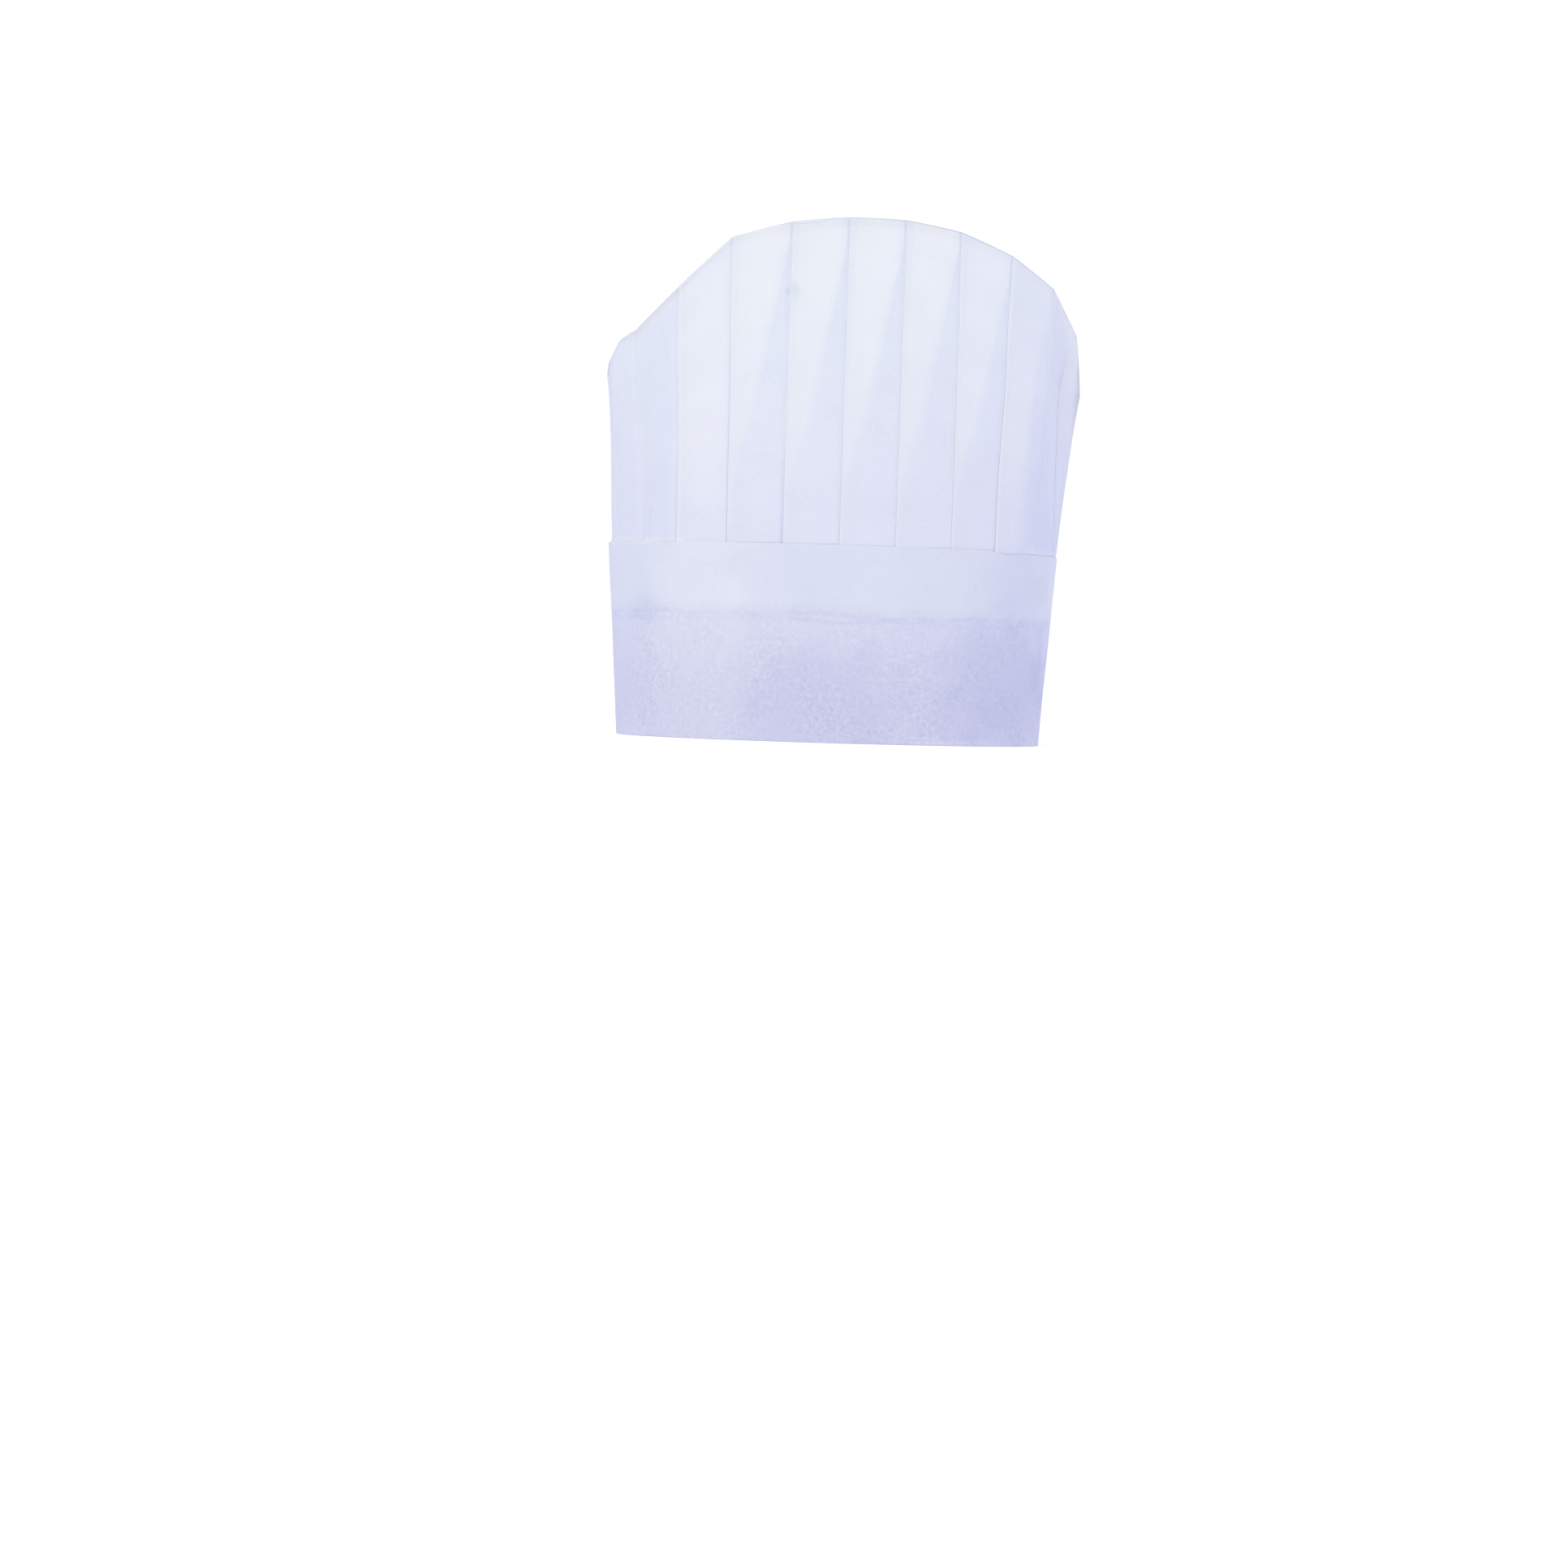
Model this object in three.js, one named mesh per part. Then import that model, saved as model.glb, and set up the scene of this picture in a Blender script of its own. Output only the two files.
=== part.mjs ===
// A tall chef's hat of white non-woven fabric, arched from the forehead to the nape.
// The crown is one knife-pleated tube of cloth, 22 pleats round. Its two sides meet above in an
// arched seam that runs from front to back, and its hem is tucked inside a smooth upright band.
// Millimetres. +X is the way the wearer faces, +Y is the wearer's left and +Z is up.
// The rim stands on z = 0, and the origin lies under the middle of the hat's side outline.
import * as THREE from "three";

// Band: a plain strip whose section goes from the head's oval to a longer, narrower one.
const BAND_HEIGHT = 92;
const BAND_WALL = 1;
const BAND_SIDES = 120;
const BAND_LEVELS = 4;
const RIM = { halfLength: 102.2, halfWidth: 81 };
const BAND_TOP = { halfLength: 108.8, halfWidth: 73 };

// Crown: the cloth wall, its tuck inside the band, and the clear space between the two.
const CROWN_WALL = 1.5;
const TUCK = 33;
const CLEARANCE = 0.4;
const SEAM_DEPTH = 2;

// Just above the band's edge the crown springs out by about the wall that held it in.
const SPRING_OUT = 1.4;
const SPRING_RISE = 0.1;

// Each fold of one side, from back to front: where it leaves the band, and where it ends
// on the arched seam. X is measured from the middle of the rim.
const FOLDS = [
  { footX: -104.5, seamX: -106.4, seamZ: 191.6 },
  { footX: -89.5, seamX: -98.6, seamZ: 197.8 },
  { footX: -73.6, seamX: -78.5, seamZ: 218.7 },
  { footX: -49.6, seamX: -53.3, seamZ: 242.7 },
  { footX: -23.4, seamX: -24.2, seamZ: 251.2 },
  { footX: 3.0, seamX: 3.5, seamZ: 253.8 },
  { footX: 29.1, seamX: 31.1, seamZ: 253.4 },
  { footX: 55.3, seamX: 57.9, seamZ: 248.2 },
  { footX: 76.4, seamX: 83.2, seamZ: 237.2 },
  { footX: 96.5, seamX: 103.4, seamZ: 222.4 },
  { footX: 106.4, seamX: 115.3, seamZ: 199.7 },
];

// Between two folds the seam bows up a little.
const SEAM_BOW = 1.1;

// The upright front and back edges lean out to a knee, then turn in to the seam's ends.
const FRONT_KNEE = { x: 118.6, z: 169.3 };
const BACK_KNEE = { x: -112.6, z: 176.3 };
const KNEE_NARROWNESS = 8;

// Seen from the front the sides stay upright, then close to the seam in a pointed arch.
const ARCH_TAPER = 0.08;
const ARCH_POWER = 2.4;
const LEAN_POWER = 1.5;

// A pleat lies flat behind its crease and dips under the next one. Its step is deepest
// halfway up. DIPS gives how far the panel has sunk at each third of its width.
const STEP_AT_BAND = 0.9;
const STEP_AT_MIDDLE = 3;
const DIPS = [0, 0.25, 0.7, 1];
const THIRDS = DIPS.length - 1;

// Steps are shallower round the tight front and back. Inside, a step lies this much further
// round than outside, so that the cloth keeps its thickness there.
const STEP_LOST_AT_ENDS = 0.6;
const STEP_NARROWNESS = 5;
const INSIDE_STEP_SHIFT = 2;

// Heights of the crown's rows, from the band's edge at 0 to the seam at 1.
const ROWS = [0, 0.1, 0.22, 0.34, 0.46, 0.58, 0.66, 0.72, 0.79, 0.85, 0.91, 0.96];

// The side outline reaches further in front of the rim's middle than behind it.
const OUTLINE_MIDDLE = (FRONT_KNEE.x + BACK_KNEE.x) / 2;

const mix = (from, to, share) => from + (to - from) * share;

// Half length and half width of the band's outer face at a height.
function bandHalves(z) {
  const share = z / BAND_HEIGHT;
  return {
    length: mix(RIM.halfLength, BAND_TOP.halfLength, share),
    width: mix(RIM.halfWidth, BAND_TOP.halfWidth, share),
  };
}

// A point of an oval. The angle starts at the wearer's right and turns towards the front.
function ovalPoint(halves, angle, z) {
  return new THREE.Vector3(halves.length * Math.sin(angle), -halves.width * Math.cos(angle), z);
}

// One closed skin: corners, and triangles whose corners turn left when seen from outside.
class Skin {
  corners = [];
  triangles = [];

  add(point) {
    this.corners.push(point.x - OUTLINE_MIDDLE, point.y, point.z);
    return this.corners.length / 3 - 1;
  }

  addRing(points) {
    return points.map((point) => this.add(point));
  }

  triangle(a, b, c) {
    if (a !== b && b !== c && c !== a) {
      this.triangles.push(a, b, c);
    }
  }

  // Joins two rings of corners, the second one above the first on a skin that faces out.
  join(lower, upper) {
    lower.forEach((corner, i) => {
      const next = (i + 1) % lower.length;
      this.triangle(corner, lower[next], upper[next]);
      this.triangle(corner, upper[next], upper[i]);
    });
  }

  // Joins a run of rings, each to the one after it.
  joinAll(rings) {
    for (let i = 1; i < rings.length; i += 1) {
      this.join(rings[i - 1], rings[i]);
    }
  }

  geometry() {
    const made = new THREE.BufferGeometry();
    made.setAttribute("position", new THREE.Float32BufferAttribute(this.corners, 3));
    made.setIndex(this.triangles);
    made.computeVertexNormals();
    return made;
  }
}

// The band is one upright wall. Its rings go up the outside and down the inside.
function bandGeometry() {
  const skin = new Skin();
  const ring = (level, inset) => {
    const z = (BAND_HEIGHT * level) / BAND_LEVELS;
    const halves = bandHalves(z);
    const inner = { length: halves.length - inset, width: halves.width - inset };
    const points = [];
    for (let i = 0; i < BAND_SIDES; i += 1) {
      points.push(ovalPoint(inner, (2 * Math.PI * i) / BAND_SIDES, z));
    }
    return skin.addRing(points);
  };
  const rings = [];
  for (let level = 0; level <= BAND_LEVELS; level += 1) {
    rings.push(ring(level, 0));
  }
  for (let level = BAND_LEVELS; level >= 0; level -= 1) {
    rings.push(ring(level, BAND_WALL));
  }
  skin.joinAll([...rings, rings[0]]);
  return skin.geometry();
}

// Half length and half width of the crown's creases, where they are inside the band.
function creaseHalves(z) {
  const halves = bandHalves(z);
  return {
    length: halves.length - BAND_WALL - CLEARANCE,
    width: halves.width - BAND_WALL - CLEARANCE,
  };
}

// The same above the band, where the crown has sprung out a little. rise runs from 0 at the
// band's edge to 1 at the seam.
function footHalves(rise) {
  const foot = creaseHalves(BAND_HEIGHT);
  const spring = SPRING_OUT * Math.min(1, rise / SPRING_RISE);
  return { length: foot.length + spring, width: foot.width + spring };
}

// All folds in turn: up the wearer's right side from back to front, then back on the left.
// place counts along the seam in folds, so the two sides share the seam's corners.
function foldsAllRound() {
  const foot = creaseHalves(BAND_HEIGHT);
  const right = FOLDS.map((fold, place) => ({
    ...fold,
    place,
    angle: Math.asin(fold.footX / foot.length),
  }));
  const left = right.map((fold) => ({ ...fold, angle: Math.PI - fold.angle })).reverse();
  return [...right, ...left];
}

// The stations round the crown: four to a panel, the last one under the next crease.
function crownStations() {
  const folds = foldsAllRound();
  return folds.flatMap((fold, i) => {
    const last = i === folds.length - 1;
    const next = last ? { ...folds[0], angle: folds[0].angle + 2 * Math.PI } : folds[i + 1];
    return DIPS.map((dip, k) => {
      const share = k / THIRDS;
      const bow = fold.place === next.place ? 0 : SEAM_BOW * 4 * share * (1 - share);
      return {
        dip,
        angle: mix(fold.angle, next.angle, share),
        place: Math.round(mix(fold.place, next.place, share) * THIRDS),
        seamX: mix(fold.seamX, next.seamX, share),
        seamZ: mix(fold.seamZ, next.seamZ, share) + bow,
      };
    });
  });
}

// How far the front or back edge stands out from a straight run to the seam's end. sine is
// 1 at the front edge and -1 at the back edge.
function kneeOffset(sine, rise) {
  const knee = sine > 0 ? FRONT_KNEE : BACK_KNEE;
  const end = sine > 0 ? FOLDS[FOLDS.length - 1] : FOLDS[0];
  const kneeRise = (knee.z - BAND_HEIGHT) / (end.seamZ - BAND_HEIGHT);
  const foot = Math.sign(sine) * footHalves(kneeRise).length;
  const most = knee.x - mix(foot, end.seamX, kneeRise ** LEAN_POWER);
  const share = Math.min(rise / kneeRise, (1 - rise) / (1 - kneeRise));
  return most * share * Math.abs(sine) ** KNEE_NARROWNESS;
}

// 1 on the flat sides, and what is left of a step at the front and back.
function stepShare(sine) {
  return 1 - STEP_LOST_AT_ENDS * Math.abs(sine) ** STEP_NARROWNESS;
}

// How deep a pleat's step is at a share of the way from the band to the seam.
function pleatStep(sine, rise) {
  const bulge = Math.sin(Math.PI * rise) * (STEP_AT_MIDDLE - STEP_AT_BAND / 2);
  return STEP_AT_BAND * (1 - rise) + bulge * stepShare(sine);
}

// A point of the crown above the band. inset is 0 outside and the wall inside.
function crownPoint(station, rise, inset) {
  const foot = footHalves(rise);
  const sine = Math.sin(station.angle);
  const cosine = Math.cos(station.angle);
  const arch = 1 - ARCH_TAPER * rise - (1 - ARCH_TAPER) * rise ** ARCH_POWER;
  const seam = seamPoint(station, inset);
  const footX = (foot.length - inset) * sine;
  const x = mix(footX, seam.x, rise ** LEAN_POWER) + kneeOffset(sine, rise);
  const y = -(foot.width - inset) * cosine * arch;
  const z = mix(BAND_HEIGHT, seam.z, rise);
  const outward = new THREE.Vector2(foot.width * arch * sine, -foot.length * cosine).normalize();
  const sunk = pleatStep(sine, rise) * station.dip;
  const round = inset > 0 ? INSIDE_STEP_SHIFT * stepShare(sine) : 0;
  return new THREE.Vector3(
    x - outward.x * sunk - outward.y * round,
    y - outward.y * sunk + outward.x * round,
    z,
  );
}

// A point of the tucked hem, low inside the band.
function hemPoint(station, inset) {
  const z = BAND_HEIGHT - TUCK;
  const halves = creaseHalves(z);
  const sunk = STEP_AT_BAND * station.dip + inset;
  const inner = { length: halves.length - sunk, width: halves.width - sunk };
  const round = inset > 0 ? INSIDE_STEP_SHIFT / halves.width : 0;
  return ovalPoint(inner, station.angle + round, z);
}

// A point of the arched seam. Inside it lies a little lower and closer to the middle.
function seamPoint(station, inset) {
  const depth = inset > 0 ? SEAM_DEPTH : 0;
  const front = FOLDS[FOLDS.length - 1].seamX;
  return new THREE.Vector3(station.seamX * (1 - depth / front), 0, station.seamZ - depth);
}

// The crown is one cloth wall. Its rings go up the outside from the hem to the seam, and the
// inside is the same again, turned to face inwards.
function crownGeometry() {
  const skin = new Skin();
  const stations = crownStations();
  const side = (inset) => {
    const hem = skin.addRing(stations.map((station) => hemPoint(station, inset)));
    const rings = ROWS.map((rise) =>
      skin.addRing(stations.map((station) => crownPoint(station, rise, inset))),
    );
    const seam = new Map();
    for (const station of stations) {
      if (!seam.has(station.place)) {
        seam.set(station.place, skin.add(seamPoint(station, inset)));
      }
    }
    return [hem, ...rings, stations.map((station) => seam.get(station.place))];
  };
  const outside = side(0);
  const inside = side(CROWN_WALL);
  skin.joinAll(outside);
  skin.joinAll([...inside].reverse());
  skin.join(inside[0], outside[0]);
  return skin.geometry();
}

function namedMesh(name, geometry, material) {
  const mesh = new THREE.Mesh(geometry, material);
  mesh.name = name;
  return mesh;
}

// Spun-laid polypropylene: matt, white with a cool cast. The band is one layer for most of
// its height, so it looks a little darker than the crown.
const crownCloth = new THREE.MeshStandardMaterial({
  color: 0xe6e9f7,
  roughness: 0.9,
  metalness: 0,
});
const bandCloth = new THREE.MeshStandardMaterial({
  color: 0xd5d7ee,
  roughness: 0.9,
  metalness: 0,
});

const hat = new THREE.Group();
hat.add(namedMesh("crown", crownGeometry(), crownCloth));
hat.add(namedMesh("band", bandGeometry(), bandCloth));

export default hat;
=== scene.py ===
from collections import namedtuple
from math import asin, cos, hypot, pi, radians, sin
from random import Random

import bpy
from mathutils import Matrix, Vector, noise


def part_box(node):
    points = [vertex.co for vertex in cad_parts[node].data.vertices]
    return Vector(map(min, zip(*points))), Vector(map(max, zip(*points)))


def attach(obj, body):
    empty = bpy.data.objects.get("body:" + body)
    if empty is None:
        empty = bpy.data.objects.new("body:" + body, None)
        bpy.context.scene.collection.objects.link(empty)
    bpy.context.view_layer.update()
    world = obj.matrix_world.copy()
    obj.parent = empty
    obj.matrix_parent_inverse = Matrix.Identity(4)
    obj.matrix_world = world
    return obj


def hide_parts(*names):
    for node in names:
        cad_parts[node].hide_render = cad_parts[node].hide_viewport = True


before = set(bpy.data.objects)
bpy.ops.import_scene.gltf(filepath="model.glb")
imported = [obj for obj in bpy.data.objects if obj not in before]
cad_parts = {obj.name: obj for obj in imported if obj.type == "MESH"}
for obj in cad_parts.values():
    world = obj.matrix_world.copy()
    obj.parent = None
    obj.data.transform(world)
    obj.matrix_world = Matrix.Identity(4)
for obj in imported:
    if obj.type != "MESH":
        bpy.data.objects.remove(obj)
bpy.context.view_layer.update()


# Crown
# One length of white spun-laid non-woven cloth, laid in 22 knife pleats that all turn the
# same way round. Its ends are joined into a tube, the top is pinched shut in one pressed
# seam from front to back, and the hem is tucked inside the band and glued there.
MM = 0.001
PLEATS = 22
PLEATS_A_SIDE = PLEATS // 2

# The band that holds the crown: its height, and half its length and half its width at the
# rim and at the top. X is counted from the middle of the rim. The crown's cloth lies a
# little inside those sizes, and its hem is tucked in deep.
band_low, band_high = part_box("band")
RIM_MIDDLE = (band_low.x + band_high.x) / 2 / MM
BAND_HEIGHT = band_high.z / MM
RIM_HALVES = (102.2, 81)
BAND_TOP_HALVES = (108.8, 73)
INSIDE_BAND = 0.25
TUCK = 33

# How the soft bend crosses a panel: the heights at which it leaves the panel's own crease
# and meets the next one, as shares of the crown's height, the least share of the panel
# beside the crease that stays whiter, and how white that is near the seam; past 1 that is
# painted light against the shade under the seam. A sloping panel has no bend and dips all
# the way across. A flat one dips only beside the next crease. The slanted bend nearest the
# front differs in its whiteness alone, as it has no painted light under the seam.
Bend = namedtuple("Bend", "low high least top_white")
SLOPING = Bend(1, 2, 0, 1)
FLAT = Bend(-2, -1, 0, 1)
SLANTED = Bend(0.15, 0.95, 0.08, 1.4)
SLANTED_AT_FRONT = Bend(0.15, 0.95, 0.08, 1)
NARROW = Bend(0.2, 0.95, 0.62, 0.2)

# Each fold of the right side, from the back to the front: where it leaves the band, where
# it ends on the seam, how far forward the knee below the seam pushes it and how high the
# knee is, how many times the usual step its own is, how grey the cloth under its edge is at
# the band, which is painted shade in the crease, and how white it is higher up, which is
# painted light against the shade under the edge, how white the edge is, partly from its
# plies and partly a painted highlight, how the panel after it bends, how white that panel's
# single ply is, which on the two panels at the back is painted shade where they turn away,
# and how soft the edge is. Whiteness is 0 on a single ply and 1 where more plies lie behind
# it, and it may go past both: past them it is painted light and painted shade. Greyness is
# whiteness counted downwards.
Fold = namedtuple("Fold", "foot_x seam_x seam_z knee knee_z step grey under white bend single soft")
FOLDS = (
    Fold(-104.5, -106.2, 190.4, -4.2, 174.3, 0.8, -0.8, 1.2, 0, SLOPING, -0.3, 0.5),
    Fold(-89.5, -98.6, 195.7, -1.2, 174.3, 0.9, 1.6, 0.4, 1.0, SLOPING, -0.5, 0),
    Fold(-73.6, -78.5, 217.3, -0.2, 174.3, 1.1, 2.2, 0.2, 1.0, FLAT, 0, 0),
    Fold(-49.6, -53.3, 242.1, 0, 174.3, 1.1, 3.6, 0.6, 0.9, SLANTED, 0, 0),
    Fold(-23.4, -24.2, 250.6, 0, 174.3, 1.0, 2.6, 0.6, 0.8, SLANTED, 0, 0),
    Fold(3.0, 3.5, 253.4, 0, 174.3, 1.0, 1.0, 0.4, 0.6, SLANTED, 0, 0),
    Fold(29.1, 31.1, 252.8, 0, 169.3, 1.0, 0.2, 0.4, 0.6, SLANTED, 0, 0),
    Fold(55.3, 57.9, 247.8, 0, 169.3, 1.0, -0.6, 0.4, 0.8, SLANTED_AT_FRONT, 0, 0),
    Fold(76.4, 83.2, 236.9, 0.3, 169.3, 1.1, 0.8, 0.4, 1.0, NARROW, 0, 0),
    Fold(96.5, 103.4, 221.6, 1.4, 169.3, 0.8, -1.6, 1.6, 0, SLOPING, 0, 1),
    Fold(106.4, 115.2, 199.2, -4.7, 176.0, 0.8, -1.6, 1.4, 0.6, SLOPING, 0, 1),
)
# The two ends of the seam, where the tube is folded flat between the last folds.
FRONT_END = Fold(0, 116.9, 186.8, 4.0, 169.3, 0.8, 0, 0, 0, SLOPING, 0, 1)
BACK_END = Fold(0, -111.4, 179.6, -1.2, 174.3, 0.8, 0, 0, 0, SLOPING, 0, 1)
# Between two folds the seam bows up a little. Over the short stretch from LOW_EDGE_FROM to
# LOW_EDGE_TO the right side's edge lies under the left side's.
SEAM_BOW = 0.3
LOW_EDGE_FROM, LOW_EDGE_TO = -28, -4
LOW_EDGE_DROP, LOW_EDGE_STEEPNESS = 1.4, 6

# Just above the band the cloth springs out a little, and at the back it is drawn in. It
# leans out going up, closes from side to side in a pointed arch, and ends in a flat fin
# whose two ends are rounded.
SPRING_OUT, SPRING_RISE = 0.15, 0.02
DRAWN_IN_AT_BACK, BACK_NARROWNESS = 1.2, 6
LEAN_POWER = 1.5
ARCH_TAPER, ARCH_POWER, ARCH_LEAST = 0.08, 2.4, 0.02
FIN_START, FIN_HALF, FIN_ROUNDING = 0.978, 0.56, 0.03

# The cloth, the gap between its plies, the cloth hidden behind a crease and the cloth that
# shows between two creases. The step under a crease has its depth at the band, its usual
# depth a third of the way up and its depth at the seam. The two powers set how low and how
# narrow the middle stretch is.
CLOTH, PLY_GAP = 0.12, 0.06
UNDERLAP, PITCH = 8, 26.1
STEP_AT_BAND, STEP_USUAL, STEP_AT_SEAM = 0.36, 0.34, 0.32
STEP_LOW_POWER, STEP_NARROW_POWER = 0.6, 1.2


def mix(start, end, share):
    return start + (end - start) * share


def clamp(value, least=0, most=1):
    return max(least, min(most, value))


def foot_angle(fold):
    """Where the fold stands round the band, 0 at the right side and a quarter at the front."""
    if fold is FRONT_END:
        return pi / 2
    if fold is BACK_END:
        return -pi / 2
    return asin(fold.foot_x / (BAND_TOP_HALVES[0] - INSIDE_BAND))


# Where the cloth leaves the band, meets the seam and has its knee, at some place round it.
Line = namedtuple("Line", "angle seam_x seam_z knee knee_z")
ROUNDING_ERROR = 1e-9


def fold_line(turn):
    """The line up the crown at a turn counted in pleats, from the back over the right side.
    The seam's two ends lie half a pleat past the last folds."""
    turn %= PLEATS
    right = turn < PLEATS_A_SIDE - 0.5 or turn >= PLEATS - 0.5
    if not right:
        turn = PLEATS - 1 - turn
    if turn > PLEATS - 1:
        turn -= PLEATS
    stations = (BACK_END, *FOLDS, FRONT_END)
    places = (-0.5, *range(PLEATS_A_SIDE), PLEATS_A_SIDE - 0.5)
    index = max(i for i, place in enumerate(places[:-1]) if place <= turn + ROUNDING_ERROR)
    here, following = stations[index], stations[index + 1]
    share = (turn - places[index]) / (places[index + 1] - places[index])
    angle = mix(foot_angle(here), foot_angle(following), share)
    seam_x = mix(here.seam_x, following.seam_x, share)
    seam_z = mix(here.seam_z, following.seam_z, share) + SEAM_BOW * 4 * share * (1 - share)
    if right:
        along = clamp((seam_x - LOW_EDGE_FROM) / (LOW_EDGE_TO - LOW_EDGE_FROM))
        seam_z -= LOW_EDGE_DROP * min(1, LOW_EDGE_STEEPNESS * along * (1 - along))
    return Line(angle if right else pi - angle, seam_x, seam_z,
                mix(here.knee, following.knee, share), mix(here.knee_z, following.knee_z, share))


def knee_push(line, rise):
    """How far the knee pushes the cloth at this height: all at the knee, nothing at both ends."""
    knee_rise = (line.knee_z - BAND_HEIGHT) / (line.seam_z - BAND_HEIGHT)
    return line.knee * min(rise / knee_rise, (1 - rise) / (1 - knee_rise))


def cloth_point(line, rise, depth):
    """A point of the crown, at a rise from 0 at the band's top to 1 at the seam, this deep
    under the outermost ply. Below the band's top the rise is negative, -1 at the hem."""
    sine, cosine = sin(line.angle), cos(line.angle)
    if rise <= 0:
        z = BAND_HEIGHT + rise * TUCK
        length, width = (mix(at_rim, at_top, z / BAND_HEIGHT) - INSIDE_BAND - depth
                         for at_rim, at_top in zip(RIM_HALVES, BAND_TOP_HALVES))
        return Vector((length * sine, -width * cosine, z))
    closing = min(1, rise / FIN_START)
    arch = 1 - ARCH_TAPER * closing - (1 - ARCH_TAPER) * closing**ARCH_POWER
    spring = SPRING_OUT - (SPRING_OUT + DRAWN_IN_AT_BACK) * max(0, -sine) ** BACK_NARROWNESS
    spring *= min(1, rise / SPRING_RISE)
    length, width = (half - INSIDE_BAND + spring for half in BAND_TOP_HALVES)
    x = mix(length * sine, line.seam_x, rise**LEAN_POWER) + knee_push(line, rise)
    side = cosine / (abs(cosine) + FIN_ROUNDING)
    y = -hypot(width * cosine * arch, FIN_HALF * side) * (1 if cosine > 0 else -1)
    z = mix(BAND_HEIGHT, line.seam_z, rise)
    inward = Vector((-width * max(arch, ARCH_LEAST) * sine, length * cosine)).normalized()
    return Vector((x + inward.x * depth, y + inward.y * depth, z))


# The cloth's columns in one pleat, from its outer crease round to the next. The crease is a
# small flattened roll, the panel dips under the next crease, folds back and returns to it.
# The soft bend is the line in the panel where the dip begins.
ROLL_TURNS = (-90, -50, -12, 25, 58, 90)
ROLL_WIDTH = 0.6
BEFORE_BEND, AFTER_BEND = 6, 4
BEND_POWER, BEND_MOST, BEND_DIP = 0.8, 0.96, 0.04
UNDER_SHARES = (0.35, 0.7, 1.0)
RETURN_SHARES = (1.0, 0.5)
# In the pressed fin a panel lies flat over its own underlap and then drops to the middle.
PRESS_START, PRESS_END, PRESS_DROP = 0.96, 0.985, 2.0

# How white a panel is. Up to its soft bend the plies behind it make it whiter, but not near
# the band, and less just beside its crease, where that is painted shade. Past the bend it is a
# single ply. In a last strip before the next crease it is a little greyer with painted shade,
# and near the band it is as grey as the next fold says. Right under the next crease it takes
# that fold's painted light and shade.
BACKED_RISE, BACKED_AT_BEND = 0.35, 0.6
TOP_WHITE_FROM, TOP_WHITE_OVER = 0.5, 0.3
SINGLE_FADE = 0.25
CREASE_SIDE_SHARE, CREASE_SIDE_SHADED_WHITE = 0.1, 0.6
GREY_RISE = 0.35
STRIP, STRIP_LEAST = 2.4, 0.4
STRIP_START, STRIP_MIDDLE = 0.12, 0.6
STRIP_WHITE, STRIP_GREY = -0.3, 0.6

# A pleat's two folds, how its panel bends and how white its single ply is, and how far its
# soft bend strays, as a share of the panel.
Pleat = namedtuple("Pleat", "crease following bend single bend_shift")
# A column's place along the crown in pleats, its depth under the outermost ply, the cloth
# before it in the pleat, and how white it is.
Column = namedtuple("Column", "place depth cloth white")


def pleat_step(rise, fullness):
    """How deep the panel goes under the next crease."""
    if rise <= 0:
        return STEP_AT_BAND
    ends = mix(STEP_AT_BAND, STEP_AT_SEAM, rise)
    middle = sin(pi * rise**STEP_LOW_POWER) ** STEP_NARROW_POWER
    return ends + (STEP_USUAL * fullness - ends) * middle


def bend_place(rise, pleat):
    """Where the soft bend crosses the panel, as a share of the panel's width."""
    bend = pleat.bend
    share = clamp((rise - bend.low) / (bend.high - bend.low)) ** BEND_POWER
    return clamp(share + pleat.bend_shift, max(bend.least, ROLL_WIDTH / PITCH * 2), BEND_MOST)


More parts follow.
